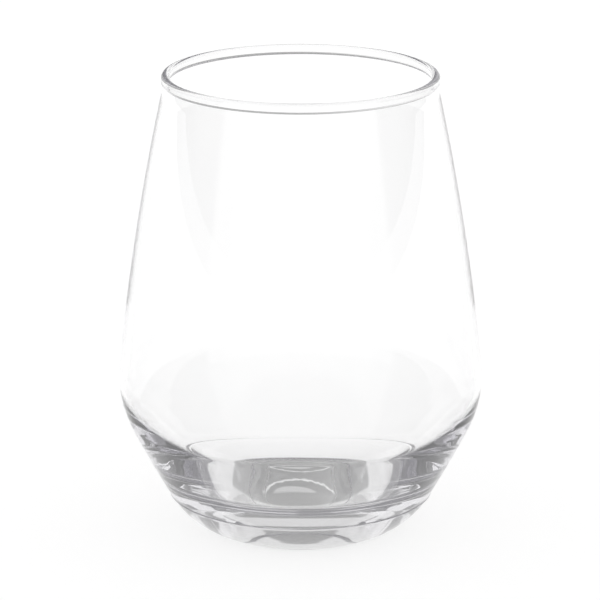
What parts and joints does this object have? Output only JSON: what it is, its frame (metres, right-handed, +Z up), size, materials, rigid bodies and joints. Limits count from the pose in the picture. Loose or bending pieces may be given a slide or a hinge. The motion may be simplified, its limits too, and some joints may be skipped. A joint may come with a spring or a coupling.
{
  "type": "stemless wine glass",
  "caption": "Clear stemless wine glass: tapered upper wall with a beaded lip, low round belt, thick rounded base and a flat foot ring to stand on.",
  "frame": {"origin": "middle of the foot ring, on the surface that the glass stands on", "axes": "+Z up along the axis of the glass, which is its axis of symmetry; X and Y are alike"},
  "size_m": [0.0876, 0.0876, 0.112],
  "materials": {
    "clear_glass": "polished clear soda-lime glass, fire polished at the lip"
  },
  "bodies": {
    "root": {"glass": "clear_glass"}
  },
  "joints": []
}
